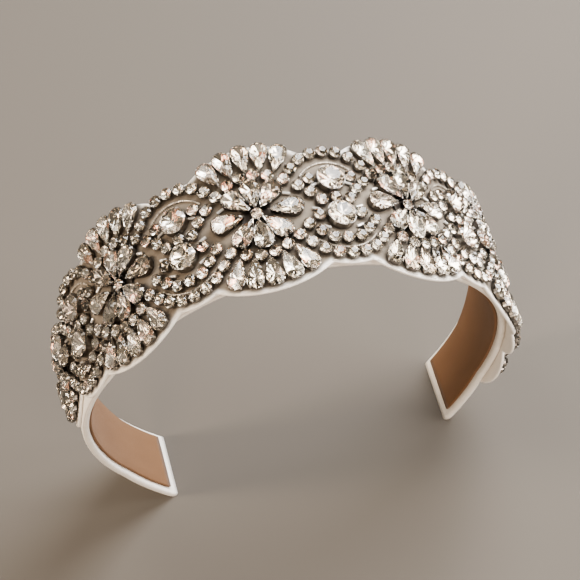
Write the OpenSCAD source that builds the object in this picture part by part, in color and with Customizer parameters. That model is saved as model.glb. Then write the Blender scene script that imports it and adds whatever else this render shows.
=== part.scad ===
// A rhinestone headband: a padded satin band in a horseshoe curve that stands on
// its two ends, with a cloth backing on which pear-shaped and round stones are
// sewn as six flowers with five oval links between them. The four middle flowers
// have a fan of pear-shaped stones at each edge of the band, and the pattern runs
// further down on the wearer's left.
// X runs from ear to ear, Y across the band, Z up. The floor is at Z = 0.

/* [Band] */
// Radius of the crown of the inner face
crown_r = 59; // [55:0.5:65]
// Angle that the crown arc covers on each side of the top
crown_angle = 33; // [28:1:38]
// Radius of the shoulders of the inner face
shoulder_r = 75; // [70:0.5:80]
// Radius of the legs of the inner face
leg_r = 104; // [95:1:115]
// Height of the hollow from the floor to the inner crown
inner_height = 134; // [125:0.5:138]
// Thickness of the padded band
band_t = 2.4; // [2:0.1:3]
// Width of the band over the head
band_w = 41; // [39:0.5:42]
// Width of the band at its two ends
foot_w = 24; // [20:0.5:30]
// Depth below the inner crown at which the band begins to narrow
taper_start = 29; // [25:1:35]
// Depth below the inner crown at which the band has its end width
taper_end = 110; // [90:1:118]

/* [Cloth] */
// Thickness of the lining ribbon
lining_t = 1; // [0.8:0.1:1.2]
// How far the satin shows beside the lining at each edge
lining_inset = 2; // [1:0.25:4]
// Height above the floor at which the lining ends
lining_lift = 4; // [2:0.5:8]
// Thickness of the cloth backing
backing_t = 1; // [0.8:0.1:1.2]
// How far the backing stands out past the stones at its front edge
backing_margin = 0.9; // [0.5:0.1:1.2]
// How much closer to the stones the backing is cut at its back edge
back_trim = 1.1; // [0.6:0.1:1.1]

/* [Pattern] */
// Distance from one flower to the next, along the backing
pitch = 48.2; // [48.1:0.1:50]
// Distance of a fan's pivot from the middle of the flower, past that middle
fan_pivot = 4.5; // [4.4:0.1:4.6]
// Distance from a fan's pivot to the outer ends of its stones
fan_reach = 29.5; // [29.4:0.1:30.5]
// Angle between two stones of a fan
fan_step = 12.3; // [12.2:0.05:12.6]
// Radius of the arcs of small stones along the edges of a link
arc_r = 14.9; // [14.8:0.1:15]
// Distance of the centres of those arcs from the middle of the link
arc_shift = 3.5; // [3.4:0.1:3.6]
// Angle between two stones of such an arc
arc_step = 16; // [15.9:0.1:16.2]

/* [Stones] */
// Radius of the round end of a petal's cup
petal_a = 3; // [2.8:0.05:3]
// Distance from that round end's centre to the point of a petal's cup
petal_d = 7; // [6.6:0.1:7]
// Radius of the round end of a fan stone's cup
fan_a = 2.7; // [2.5:0.05:2.7]
// Distance from that round end's centre to the point of a fan stone's cup
fan_d = 7.3; // [6.8:0.1:7.3]
// Radius of the large round stones
round_r = 4; // [3.8:0.05:4]
// Radius of the cup of a small stone
small_r = 2; // [1.8:0.05:2]
// Wall thickness of the metal cups
cup_wall = 0.3; // [0.25:0.05:0.35]
// Thickness of the floor of the metal cups
cup_floor = 0.4; // [0.3:0.05:0.5]

/* [Hidden] */
// Places of the flowers and links along the band, counted in pitches
FLOWERS = [-2, -1, 0, 1, 2, 3];
LINKS = [-1.5, -0.5, 0.5, 1.5, 2.5];
// The flowers that have fans at the edges of the band
FANNED = [-1, 0, 1, 2];
FIRST_FLOWER = FLOWERS[0];
LAST_FLOWER = FLOWERS[len(FLOWERS) - 1];
// The flowers and links whose large stones are nodes of their own and whose small
// stones are built. The large stones of the last flower and link are one node each.
ROWED = [-2, -1, 0, 1, 2];
LINED = [-1.5, -0.5, 0.5, 1.5];
PETALS = 8;

SATIN = "ivory";
RIBBON = "sienna";
CLOTH = "antiquewhite";
CRYSTAL = "lightcyan";
METAL = "dimgray";

// Clearance between two pieces that lie on each other
seat_gap = 0.05;
// Clearance between a stone and its cup, and between a cup and the cloth
stone_gap = 0.1;
// Height of the face of the backing above the inner face
face_h = lining_t + seat_gap + band_t + seat_gap + backing_t;
// Angle of the shoulder arc, which ends where the sides are upright
shoulder_angle = 90 - crown_angle;
// Angle of the leg arc, which passes below the floor
leg_angle = 48;

// The inner face as tangent arcs, from the top to one end
// columns: radius, angle of the arc, angle where it starts
ARCS = [
    [crown_r, crown_angle, 0],
    [shoulder_r, shoulder_angle, crown_angle],
    [leg_r, leg_angle, 90]];
LAST_ARC = len(ARCS) - 1;

// Centre of an arc in X and Z, measured from the inner crown
function arc_centre(i) = i == 0
    ? [0, -crown_r]
    : arc_centre(i - 1) + (ARCS[i - 1][0] - ARCS[i][0]) * [sin(ARCS[i][2]), cos(ARCS[i][2])];
// Number of the arc on which the normal leans by an angle
function arc_at(lean) = lean < ARCS[1][2] ? 0 : lean < ARCS[2][2] ? 1 : 2;
// Point of the curve at a lean and a height above the inner face, in X and Z
function curve_point(lean, h) =
    let (i = arc_at(abs(lean)), r = ARCS[i][0] + h, c = arc_centre(i))
    [sign(lean) * (c.x + r * sin(abs(lean))), inner_height + c.y + r * cos(lean)];
// Length of an arc on the face of the backing
function arc_length(i) = (ARCS[i][0] + face_h) * ARCS[i][1] * PI / 180;
// Lean of the normal at a length along the face of the backing
function lean_past(u, i) = i == LAST_ARC || u <= arc_length(i)
    ? ARCS[i][2] + u / (ARCS[i][0] + face_h) * 180 / PI
    : lean_past(u - arc_length(i), i + 1);
function lean_at(u) = (u < 0 ? -1 : 1) * lean_past(abs(u), 0);
// Point of a piece that is laid on the backing at u along it and v across it
function laid(u, v, p) =
    let (a = lean_at(u), c = curve_point(a, face_h))
    [c.x + p.x * cos(a) + p.z * sin(a), v + p.y, c.y - p.x * sin(a) + p.z * cos(a)];

// Turn of a flat point about the origin
function turned(p, a) = [p.x * cos(a) - p.y * sin(a), p.x * sin(a) + p.y * cos(a)];

// Outlines of the stones, drawn round the centre of their round end
ROUND_SIDES = 16;
SMALL_SIDES = 8;
PEAR_SIDES = 10;
function disc(n, r) = [for (i = [0:n - 1]) r * [cos((i + 0.5) * 360 / n), sin((i + 0.5) * 360 / n)]];
// A pear with its point towards -X: the last point is the tip
function pear(a, d) =
    let (reach = 90 + asin(a / d), arc_points = PEAR_SIDES - 1)
    concat(
        [for (i = [0:arc_points - 1]) let (t = reach * (2 * i / (arc_points - 1) - 1)) a * [cos(t), sin(t)]],
        [[-d, 0]]);
function pear_middle(a, d) = (a - d) / 2;

// Faces of one stone, whose rings of n points lie one above the other
function stone_faces(n, rings, first) = concat(
    [[for (i = [0:n - 1]) first + i]],
    [for (j = [0:rings - 2], i = [0:n - 1])
        let (k = first + j * n, next = (i + 1) % n)
        [k + i, k + n + i, k + n + next, k + next]],
    [[for (i = [n - 1:-1:0]) first + (rings - 1) * n + i]]);
// Points of one stone, laid on the backing
// stone columns: u, v, turn. level columns: share of the outline, height
function stone_points(stone, outline, shift, levels) =
    [for (level = levels, p = outline)
        let (q = turned([level[0] * p.x - shift, level[0] * p.y], stone[2]))
        laid(stone[0], stone[1], [q.x, q.y, level[1]])];
// All the stones of a list as one solid each
module stones(list, outline, shift, levels) {
    n = len(outline);
    polyhedron(
        points = [for (s = list) each stone_points(s, outline, shift, levels)],
        faces = [for (k = [0:len(list) - 1])
            each stone_faces(n, len(levels), k * n * len(levels))],
        convexity = 10);
}

// Heights above the backing
petal_wall_top = 1.9;
round_wall_top = 2.3;
centre_wall_top = 1.6;
// Height of the upright girdle of a large round stone
girdle_h = 0.4;
// Levels of the cut stones and cups, from the bottom to the table
// columns: share of the outline, height above the backing
small_levels = [[0.88, stone_gap], [1, 1.5], [0.55, 2.6]];
fan_levels = [[0.9, stone_gap], [1, 1.7], [0.5, 3.2]];
petal_share = 1 - (cup_wall + stone_gap) / petal_a;
stone_low = stone_gap + cup_floor + stone_gap;
petal_levels = [
    [0.6 * petal_share, stone_low],
    [petal_share, petal_wall_top],
    [0.5 * petal_share, 3.6]];
round_levels = [
    [0.5, stone_low],
    [1, round_wall_top - girdle_h],
    [1, round_wall_top],
    [0.55, 4.4]];
centre_r = small_r - cup_wall - stone_gap;
centre_levels = [[0.6, stone_low], [1, 1.7], [0.55, 2.9]];

// The eight petals of a flower, in their order round it
// columns: angle, distance of the cup's point from the middle of the flower
diagonal = 49;
PETAL_TABLE = [
    [0, 3.9], [diagonal, 2.4], [90, 2.15], [180 - diagonal, 2.4],
    [180, 3.9], [180 + diagonal, 2.4], [270, 2.15], [360 - diagonal, 2.4]];
petal_half = (petal_a + petal_d) / 2;
function petal_place(flower, k) =
    let (angle = PETAL_TABLE[k][0], reach = PETAL_TABLE[k][1] + petal_half)
    [flower * pitch + reach * cos(angle), reach * sin(angle), angle];

// The stones of a fan, at the upper (side 1) or lower (side -1) edge
FAN_LAST = 4;
fan_half = (fan_a + fan_d) / 2;
function fan_place(flower, side, k) =
    let (angle = 90 - (k - FAN_LAST / 2) * fan_step, reach = fan_reach - fan_half)
    [flower * pitch + reach * cos(angle), side * (reach * sin(angle) - fan_pivot), side * angle];

// The small stones round a flower, for one quarter of it
// columns: distance along the band, distance across it
ROW_TABLE = [[2.1, 13.85], [6.1, 12.4], [10.3, 10.1]];
// The stone of a quarter that faces a link
CORNER = [13.1, 13.2];
// The stones of a quarter that closes an end of the pattern
CLOSING_TABLE = [[13.45, 7.3], [16, 4]];
// Distance of the last stone at an end, which isn't built here
tip_u = 17.3;
function quarter_rest(f, sx) = f == FIRST_FLOWER && sx < 0 ? CLOSING_TABLE : [CORNER];
ROW_STONES = [
    for (f = ROWED, sx = [-1, 1], sy = [-1, 1], p = concat(ROW_TABLE, quarter_rest(f, sx)))
        [f * pitch + sx * p.x, sy * p.y, 0]];

// The two large stones of a link, the upper first
ROUND_TABLE = [8.1, -4.9];
// The small stones inside a link
// columns: distance along the band, distance across it
MIDDLE_TABLE = [[0, 1.6], [0, -13]];
PAIR_TABLE = [
    [4.4, 1], [7.1, 4.2], [6.5, 8.9], [10.2, 7],
    [6.5, -4.2], [10.2, -6.9], [7.3, -9.9], [4.15, -12.55]];
// Stones of an arc on each side of its middle
ARC_REACH = 2;
function arc_stone(k) = [arc_r * sin(k * arc_step), arc_shift + arc_r * cos(k * arc_step)];
function arc_list(c) =
    [for (k = [-ARC_REACH:ARC_REACH], sy = [-1, 1]) [c + arc_stone(k).x, sy * arc_stone(k).y, 0]];
function inner_list(c) = concat(
    [for (p = MIDDLE_TABLE) [c + p.x, p.y, 0]],
    [for (p = PAIR_TABLE, sx = [-1, 1]) [c + sx * p.x, p.y, 0]]);
LINK_STONES = concat(
    [for (link = LINED) each arc_list(link * pitch)],
    [for (link = LINED) each inner_list(link * pitch)]);

// Distance of the backing's front edge from its middle at a length u: the widest
// of its scallops
function dome(du, r) = sqrt(max(0, r * r - du * du));
end_long = tip_u + small_r + backing_margin;
end_wide = ROW_TABLE[0].y + small_r + backing_margin;
link_reach = arc_r + small_r + backing_margin;
function backing_edge(u) = max(concat(
    [for (f = FANNED) dome(u - f * pitch, fan_reach + backing_margin) - fan_pivot],
    [for (l = LINKS) dome(u - l * pitch, link_reach) + arc_shift],
    [for (f = [FIRST_FLOWER, LAST_FLOWER]) dome(u - f * pitch, end_long) * end_wide / end_long]));
// Share of the scallop at each end at which the sheet is cut straight
end_share = 0.985;
backing_start = FIRST_FLOWER * pitch - end_share * end_long;
backing_end = LAST_FLOWER * pitch + end_share * end_long;

// The strip between two heights above the inner face, as wide as the band
CURVE_STEPS = 60;
module strip(low, high) {
    leans = [for (i = [-CURVE_STEPS:CURVE_STEPS]) i * (90 + leg_angle) / CURVE_STEPS];
    rotate([90, 0, 0])
        linear_extrude(height = band_w, center = true)
            polygon(concat(
                [for (a = leans) curve_point(a, high)],
                [for (i = [len(leans) - 1:-1:0]) curve_point(leans[i], low)]));
}

// The outline of the band seen along X, narrower by an inset at each edge
module side_outline(inset, floor_z) {
    depth = 2 * (shoulder_r + leg_r);
    wide = band_w / 2 - inset;
    narrow = foot_w / 2 - inset;
    half = [
        [narrow, floor_z],
        [narrow, inner_height - taper_end],
        [wide, inner_height - taper_start],
        [wide, inner_height + crown_r]];
    rotate([90, 0, 90])
        linear_extrude(height = depth, center = true)
            polygon(concat(half, [for (i = [len(half) - 1:-1:0]) [-half[i].x, half[i].y]]));
}

module band() {
    color(SATIN)
        intersection() {
            strip(lining_t + seat_gap, lining_t + seat_gap + band_t);
            side_outline(0, 0);
        }
}

module lining() {
    color(RIBBON)
        intersection() {
            strip(0, lining_t);
            side_outline(lining_inset, lining_lift);
        }
}

// The backing is one sheet: a station every two millimetres, each with the
// two edges of its lower face and the two edges of its upper face
BACKING_STEPS = 124;
module backing() {
    step = (backing_end - backing_start) / BACKING_STEPS;
    places = [for (i = [0:BACKING_STEPS]) backing_start + i * step];
    last = 4 * (len(places) - 1);
    color(CLOTH)
        polyhedron(
            points = [for (u = places)
                let (front = -backing_edge(u), back = backing_edge(u) - back_trim)
                each [
                    laid(u, 0, [0, front, -backing_t]), laid(u, 0, [0, back, -backing_t]),
                    laid(u, 0, [0, back, 0]), laid(u, 0, [0, front, 0])]],
            faces = concat(
                [[0, 3, 2, 1]],
                [for (k = [0:4:last - 4], i = [0:3]) let (next = (i + 1) % 4)
                    each [[k + i, k + next, k + 4 + next], [k + i, k + 4 + next, k + 4 + i]]],
                [[last, last + 1, last + 2, last + 3]]),
            convexity = 10);
}

// Sides of the round cups
ROUND_FN = 48;
CENTRE_FN = 32;
// How far the plate of a flower reaches under the points of its widest petals
plate_lap = 1;

// Puts a piece that is drawn flat on the backing
module lay(u, v) {
    p = laid(u, v, [0, 0, 0]);
    translate(p)
        rotate([0, lean_at(u), 0])
            children();
}

function round_place(link, part) = [LINKS[link] * pitch, ROUND_TABLE[part], 0];

module round_stones(places) {
    color(CRYSTAL)
        stones(places, disc(ROUND_SIDES, round_r), 0, round_levels);
}

module round_settings() {
    bore = round_r + stone_gap;
    color(METAL)
        for (link = [0:len(LINKS) - 1], part = [0, 1]) {
            place = round_place(link, part);
            lay(place[0], place[1])
                translate([0, 0, stone_gap])
                    difference() {
                        cylinder(h = round_wall_top - stone_gap, r = bore + cup_wall, $fn = ROUND_FN);
                        translate([0, 0, cup_floor])
                            cylinder(h = round_wall_top, r = bore, $fn = ROUND_FN);
                    }
        }
}

module petals(places) {
    color(CRYSTAL)
        stones(places, pear(petal_a, petal_d), pear_middle(petal_a, petal_d), petal_levels);
}

// One pear-shaped cup of a flower, without its hollow or the hollow alone
module petal_block(flower, k, share, low, high) {
    place = petal_place(flower, k);
    lay(place[0], place[1])
        rotate([0, 0, place[2]])
            translate([-pear_middle(petal_a, petal_d), 0, low])
                linear_extrude(height = high - low)
                    polygon(pear(petal_a * share, petal_d * share));
}

module flower_setting(flower) {
    plate_r = PETAL_TABLE[0][1] + plate_lap;
    bore = small_r - cup_wall;
    difference() {
        union() {
            for (k = [0:PETALS - 1])
                petal_block(flower, k, 1, stone_gap, petal_wall_top);
            lay(flower * pitch, 0)
                translate([0, 0, stone_gap]) {
                    cylinder(h = cup_floor, r = plate_r, $fn = ROUND_FN);
                    cylinder(h = centre_wall_top - stone_gap, r = small_r, $fn = CENTRE_FN);
                }
        }
        for (k = [0:PETALS - 1])
            petal_block(flower, k, 1 - cup_wall / petal_a, stone_gap + cup_floor, 2 * petal_wall_top);
        lay(flower * pitch, 0)
            translate([0, 0, stone_gap + cup_floor])
                cylinder(h = centre_wall_top, r = bore, $fn = CENTRE_FN);
    }
}

module flower_settings() {
    color(METAL)
        for (f = FLOWERS)
            flower_setting(f);
}

module flower_centres() {
    color(CRYSTAL)
        stones([for (f = FLOWERS) [f * pitch, 0, 0]], disc(SMALL_SIDES, centre_r), 0, centre_levels);
}

module fans(side) {
    color(CRYSTAL)
        stones([for (f = FANNED, k = [0:FAN_LAST]) fan_place(f, side, k)], pear(fan_a, fan_d),
            pear_middle(fan_a, fan_d), fan_levels);
}

module row_stones() {
    color(CRYSTAL)
        stones(ROW_STONES, disc(SMALL_SIDES, small_r), 0, small_levels);
}

module link_stones() {
    color(CRYSTAL)
        stones(LINK_STONES, disc(SMALL_SIDES, small_r), 0, small_levels);
}

band();
lining();
backing();
for (i = [1:len(LINED)]) {
    round_stones([round_place(i - 1, 0)]);
    round_stones([round_place(i - 1, 1)]);
}
round_stones([for (part = [0, 1]) round_place(len(LINED), part)]);  // end_round_stones
round_settings();
for (f = [1:len(ROWED)], k = [1:PETALS])
    petals([petal_place(ROWED[f - 1], k - 1)]);
petals([for (k = [0:PETALS - 1]) petal_place(LAST_FLOWER, k)]);  // end_petals
flower_settings();
flower_centres();
fans(1);  // fans_upper
fans(-1);  // fans_lower
row_stones();
link_stones();
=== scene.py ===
import math
import random

import bmesh
import bpy
from mathutils import Matrix, Vector, noise
from mathutils.kdtree import KDTree


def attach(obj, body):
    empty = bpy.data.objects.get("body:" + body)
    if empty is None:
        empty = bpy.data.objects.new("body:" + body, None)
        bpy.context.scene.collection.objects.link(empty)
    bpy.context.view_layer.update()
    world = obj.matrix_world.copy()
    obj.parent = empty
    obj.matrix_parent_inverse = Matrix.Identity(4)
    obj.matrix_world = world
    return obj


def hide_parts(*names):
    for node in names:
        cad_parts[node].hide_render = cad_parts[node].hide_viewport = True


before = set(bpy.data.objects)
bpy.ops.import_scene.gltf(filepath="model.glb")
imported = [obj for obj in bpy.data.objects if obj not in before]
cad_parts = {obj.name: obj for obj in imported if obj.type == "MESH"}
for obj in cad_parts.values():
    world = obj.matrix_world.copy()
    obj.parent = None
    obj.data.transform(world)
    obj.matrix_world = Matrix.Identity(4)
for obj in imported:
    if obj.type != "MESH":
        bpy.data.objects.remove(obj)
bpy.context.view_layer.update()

# Camera. The photograph looks steeply down on the crown from the front, a
# little from the wearer's right, through a long lens that is rolled.
azimuth, elevation, roll = math.radians(-4.85), math.radians(59.33), math.radians(-11.35)
view_distance = 0.69892
aim = Vector((0.0, 0.0, 0.084))
view_shift = Vector((0.00403, 0.00574))
back = Vector((math.sin(azimuth) * math.cos(elevation), -math.cos(azimuth) * math.cos(elevation),
               math.sin(elevation)))
level = Vector((0, 0, 1)).cross(back).normalized()
upright = back.cross(level)
right = math.cos(roll) * level + math.sin(roll) * upright
above = -math.sin(roll) * level + math.cos(roll) * upright
eye = aim + back * view_distance + right * view_shift.x + above * view_shift.y
lens = bpy.data.cameras.new("view")
lens.sensor_width, lens.lens = 36.0, 138.34
lens.clip_start, lens.clip_end = 0.01, 20.0
camera = bpy.data.objects.new("view", lens)
camera.matrix_world = Matrix((
    (right.x, above.x, back.x, eye.x),
    (right.y, above.y, back.y, eye.y),
    (right.z, above.z, back.z, eye.z),
    (0, 0, 0, 1)))
bpy.context.scene.collection.objects.link(camera)
bpy.context.scene.camera = camera


# Floor and light. A plain pale floor, a dim even room, and soft boxes: a large
# one from the right and behind, and weaker ones from the other sides.
class Wire:
    """A value in a node tree. Arithmetic on it adds the Math nodes."""

    def __init__(self, bench, socket):
        self.bench, self.socket = bench, socket

    def _maths(self, operation, first, second):
        node = self.bench.node("ShaderNodeMath", {"operation": operation}, {0: first, 1: second})
        return node[0]

    def __add__(self, other):
        return self._maths("ADD", self, other)

    __radd__ = __add__

    def __mul__(self, other):
        return self._maths("MULTIPLY", self, other)

    __rmul__ = __mul__

    def __sub__(self, other):
        return self._maths("SUBTRACT", self, other)

    def __rsub__(self, other):
        return self._maths("SUBTRACT", other, self)


class Placed:
    """A node on the bench; its outputs are read by number or name as wires."""

    def __init__(self, bench, made):
        self.bench, self.made = bench, made

    def __getitem__(self, key):
        return Wire(self.bench, self.made.outputs[key])


class Bench:
    """A node tree being built."""

    def __init__(self, tree):
        self.tree = tree

    def node(self, kind, settings=None, values=None):
        made = self.tree.nodes.new(kind)
        for name, setting in (settings or {}).items():
            if name == "stops":
                ramp = made.color_ramp
                while len(ramp.elements) < len(setting):
                    ramp.elements.new(1.0)
                for element, (place, shade) in zip(ramp.elements, setting):
                    element.position, element.color = place, (*shade, 1.0)
            else:
                setattr(made, name, setting)
        for key, value in (values or {}).items():
            if isinstance(value, Wire):
                self.tree.links.new(value.socket, made.inputs[key])
            else:
                made.inputs[key].default_value = value
        return Placed(self, made)

    def place(self):
        """The place on the object, in metres."""
        return self.node("ShaderNodeTexCoord")["Object"]

    def stored(self, label):
        """The number that is stored on the mesh under a name."""
        return self.node("ShaderNodeAttribute", {"attribute_name": label})["Fac"]

    def relief(self, strength, depth, height):
        """The normal of a surface with a fine relief."""
        return self.node("ShaderNodeBump", {}, {
            "Strength": strength, "Distance": depth, "Height": height})["Normal"]

    def grain(self, place, scale, detail=2.0):
        """A noise over places, as a number."""
        return self.node("ShaderNodeTexNoise", {}, {"Vector": place, "Scale": scale, "Detail": detail})[0]

    def mix(self, factor, first, second):
        """A colour between two colours or wires."""
        return self.node("ShaderNodeMix", {"data_type": "RGBA"}, {
            0: factor,
            6: first if isinstance(first, Wire) else (*first, 1.0),
            7: second if isinstance(second, Wire) else (*second, 1.0)})[2]


def finish_of(name, constants, build):
    """A material: constants go on the shader's own sockets, build(bench) gives what varies."""
    material = bpy.data.materials.new(name)
    material.use_nodes = True
    bench = Bench(material.node_tree)
    shader = next(n for n in material.node_tree.nodes if n.type == "BSDF_PRINCIPLED")
    for socket, value in constants.items():
        shader.inputs[socket].default_value = value
    for socket, wire in build(bench).items():
        material.node_tree.links.new(wire.socket, shader.inputs[socket])
    return material


def floor_paint(bench):
    cloud = bench.grain(bench.place(), 3.0)
    return {"Base Color": bench.mix(cloud, (0.114, 0.103, 0.091), (0.132, 0.120, 0.106))}


floor_reach = 3.0
floor_mesh = bpy.data.meshes.new("floor")
floor_mesh.from_pydata(
    [(x * floor_reach, y * floor_reach, 0) for x, y in ((-1, -1), (1, -1), (1, 1), (-1, 1))], [],
    [(0, 1, 2, 3)])
floor_mesh.materials.append(
    finish_of("pale_floor", {"Roughness": 0.9, "Specular IOR Level": 0.1}, floor_paint))
floor = bpy.data.objects.new("floor", floor_mesh)
bpy.context.scene.collection.objects.link(floor)

world = bpy.data.worlds.new("studio")
world.use_nodes = True
room = world.node_tree.nodes["Background"]
room.inputs["Color"].default_value = (0.82, 0.76, 0.68, 1)
room.inputs["Strength"].default_value = 0.44
bpy.context.scene.world = world
bpy.context.scene.view_settings.look = "AgX - Medium High Contrast"

# columns: name, place in metres, width and height, power in watts, colour
SOFT_BOXES = (
    ("window", (0.44, 0.34, 0.56), (0.50, 0.60), 16.0, (0.97, 0.98, 1.0)),
    ("right_fill", (0.52, -0.06, 0.34), (0.30, 0.30), 3.6, (1.0, 0.97, 0.93)),
    ("front_fill", (-0.55, -0.85, 0.65), (0.40, 0.40), 5.2, (1.0, 0.80, 0.60)),
    ("top_strip", (-0.20, 0.40, 1.05), (0.16, 0.60), 2.2, (1.0, 0.93, 0.84)),
    ("side_strip", (-0.90, 0.10, 0.50), (0.14, 0.60), 10.0, (1.0, 0.84, 0.68)),
    ("low_glow", (0.35, -0.85, 0.30), (0.30, 0.20), 3.4, (1.0, 0.85, 0.76)),
)
for name, place, size, power, tint in SOFT_BOXES:
    lamp = bpy.data.lights.new(name, "AREA")
    lamp.shape, lamp.size, lamp.size_y = "RECTANGLE", *size
    lamp.energy, lamp.color = power, tint
    box = bpy.data.objects.new(name, lamp)
    box.location = place
    box.rotation_euler = (aim - Vector(place)).to_track_quat("-Z", "Y").to_euler()
    bpy.context.scene.collection.objects.link(box)

# Band. A stiff hoop padded with thin foam and wrapped in ivory duchess satin,
# whose edges are drawn round to the inside in small puckers.
mm = 0.001
# columns: radius of the inner face, angle of the arc, angle where it starts
ARCS = ((59 * mm, 33.0, 0.0), (75 * mm, 57.0, 33.0), (104 * mm, 48.0, 90.0))
inner_height = 134 * mm
lining_t, band_t, cloth_t, seat_gap = 1.0 * mm, 2.4 * mm, 1.0 * mm, 0.05 * mm
band_low = lining_t + seat_gap
band_high = band_low + band_t
face_h = band_high + seat_gap + cloth_t
ARC_CENTRES = [Vector((0.0, inner_height - ARCS[0][0]))]
for nearer, further in zip(ARCS, ARCS[1:]):
    start = math.radians(further[2])
    step = (nearer[0] - further[0]) * Vector((math.sin(start), math.cos(start)))
    ARC_CENTRES.append(ARC_CENTRES[-1] + step)


def curve_point(lean, h):
    """X and Z of the hoop's curve where its normal leans by an angle, h above the inner face."""
    turn = abs(lean)
    i = 0 if turn < ARCS[1][2] else 1 if turn < ARCS[2][2] else 2
    radius, angle = ARCS[i][0] + h, math.radians(turn)
    x = ARC_CENTRES[i].x + radius * math.sin(angle)
    return math.copysign(x, lean), ARC_CENTRES[i].y + radius * math.cos(angle)


def lean_down_to(height, h):
    """The lean at which the curve comes down to a height above the floor."""
    return math.degrees(math.acos((height - ARC_CENTRES[2].y) / (ARCS[2][0] + h)))


def half_width(height, inset):
    """Half the width of the band at a height above the floor."""
    wide, narrow, widest_at, narrowest_at = 20.5 * mm, 12 * mm, 105 * mm, 24 * mm
    share = min(1.0, max(0.0, (height - narrowest_at) / (widest_at - narrowest_at)))
    return narrow + (wide - narrow) * share - inset


def slab_ring(low, high, corner, across, under, rounding):
    """A flat section with round corners, once round, with across and under steps on the halves of its two
    faces. Each point: side, share of the flat half width, reach past it, height."""
    turn = [math.pi / 2 * i / rounding for i in range(rounding + 1)]
    half = [(i / across, 0.0, high) for i in range(across)]
    half += [(1.0, corner * math.sin(t), high - corner + corner * math.cos(t)) for t in turn]
    half += [(1.0, corner * math.cos(t), low + corner - corner * math.sin(t)) for t in turn]
    half += [(i / under, 0.0, low) for i in reversed(range(under))]
    return [(1, *p) for p in half] + [(-1, *p) for p in reversed(half[1:-1])]


def placed_mesh(name, mesh, material=None):
    """An object at the origin from a closed bmesh."""
    bmesh.ops.recalc_face_normals(mesh, faces=mesh.faces)
    data = bpy.data.meshes.new(name)
    mesh.to_mesh(data)
    mesh.free()
    if material:
        data.materials.append(material)
    piece = bpy.data.objects.new(name, data)
    bpy.context.scene.collection.objects.link(piece)
    return piece


def cloth_loft(name, rings, material, station_long):
    """A closed skin over rings of points. Its UV map holds metres along and round the piece."""
    mesh = bmesh.new()
    uv = mesh.loops.layers.uv.new("cloth")
    rows = [[mesh.verts.new(p) for p in ring] for ring in rings]
    count = len(rings[0])
    middle = rings[len(rings) // 2]
    around = [0.0]
    for i in range(count):
        around.append(around[-1] + (Vector(middle[(i + 1) % count]) - Vector(middle[i])).length)
    for j in range(len(rows) - 1):
        for i in range(count):
            k = (i + 1) % count
            face = mesh.faces.new((rows[j][i], rows[j][k], rows[j + 1][k], rows[j + 1][i]))
            for loop, (u, v) in zip(face.loops, ((j, i), (j, i + 1), (j + 1, i + 1), (j + 1, i))):
                loop[uv].uv = (u * station_long, around[v])
            face.smooth = True
    mesh.faces.new(rows[0])
    mesh.faces.new(list(reversed(rows[-1])))
    return placed_mesh(name, mesh, material)


def satin_paint(bench):
    cloth = bench.node("ShaderNodeUVMap", {"uv_map": "cloth"})["UV"]
    long_thread = bench.node("ShaderNodeMapping", {}, {"Vector": cloth, "Scale": (900.0, 7000.0, 1.0)})[0]
    thread = bench.grain(long_thread, 1.0)
    drag = bench.node("ShaderNodeMapping", {}, {"Vector": cloth, "Scale": (420.0, 90.0, 1.0),
                                                "Rotation": (0, 0, 0.25)})[0]
    fold = bench.grain(drag, 1.0, 3.0)
    # The satin is painted darker in the hollows of its folds than on their crests: painted shade of the
    # wrinkles.
    ivory = bench.mix(fold, (0.74, 0.69, 0.62), (0.90, 0.86, 0.80))
    # Along the line where the satin is tucked in, its colour is painted dark: painted shade in the crease.
    return {"Base Color": bench.mix(bench.stored("tuck") * 0.55, ivory, (0.36, 0.28, 0.24)),
            "Roughness": 0.30 + thread * 0.22,
            "Normal": bench.relief(0.35, 0.4 * mm, fold * 0.8 + thread * 0.2)}


satin = finish_of("ivory_satin", {"Sheen Weight": 0.25, "Sheen Roughness": 0.4, "Specular IOR Level": 0.6},
                  satin_paint)
satin_long = 380 * mm
satin_stations = 300
satin_round = 1.05 * mm
satin_ring = slab_ring(band_low, band_high, satin_round, 4, 4, 6)
pucker, tuck_depth = 0.14 * mm, 0.12 * mm
# How fast the puckers change: per degree of lean, from edge to edge, and per metre of height
pucker_rate = Vector((0.9, 3.0, 300.0))
# The point of the ring at which the satin is tucked in, counted from its middle
tuck_line = 8
satin_rings, satin_tuck_shades = [], []


def ripple(place):
    """A smooth random share from 0 to 1."""
    return 0.5 + 0.5 * noise.noise(place)


for j in range(satin_stations + 1):
    t = 2 * j / satin_stations - 1
    ring = []
    for number, (side, share, reach, h) in enumerate(satin_ring):
        lean = t * lean_down_to(0.0, h)
        x, z = curve_point(lean, h)
        flat = half_width(z, satin_round)
        tucked = number in (tuck_line, len(satin_ring) - tuck_line)
        pull = pucker * ripple(Vector((lean, side, h)) * pucker_rate) * (reach > 0)
        ring.append((x, side * (share * flat + reach - pull - tuck_depth * tucked), max(z, 0.0)))
        satin_tuck_shades.append(float(tucked))
    satin_rings.append(ring)
satin_band = cloth_loft("satin_band", satin_rings, satin, satin_long / satin_stations)
# The tucked line is stored on the satin, where its material paints it dark as painted shade.
tuck = satin_band.data.attributes.new("tuck", "FLOAT", "POINT")
tuck.data.foreach_set("value", satin_tuck_shades)
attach(satin_band, "root")
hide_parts("band")


# Lining. A brown velvet ribbon glued inside the band, a little narrower than
# it, so that the satin shows as a light strip at both edges.
def velvet_paint(bench):
    cloth = bench.node("ShaderNodeUVMap", {"uv_map": "cloth"})["UV"]
    pile = bench.grain(cloth, 5200.0)
    brushed = bench.grain(cloth, 90.0, 3.0)
    deep = bench.mix(brushed, (0.114, 0.058, 0.030), (0.172, 0.093, 0.050))
    return {"Base Color": bench.mix(pile * 0.4, deep, (0.29, 0.165, 0.083)),
            "Normal": bench.relief(0.5, 0.2 * mm, pile)}


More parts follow.
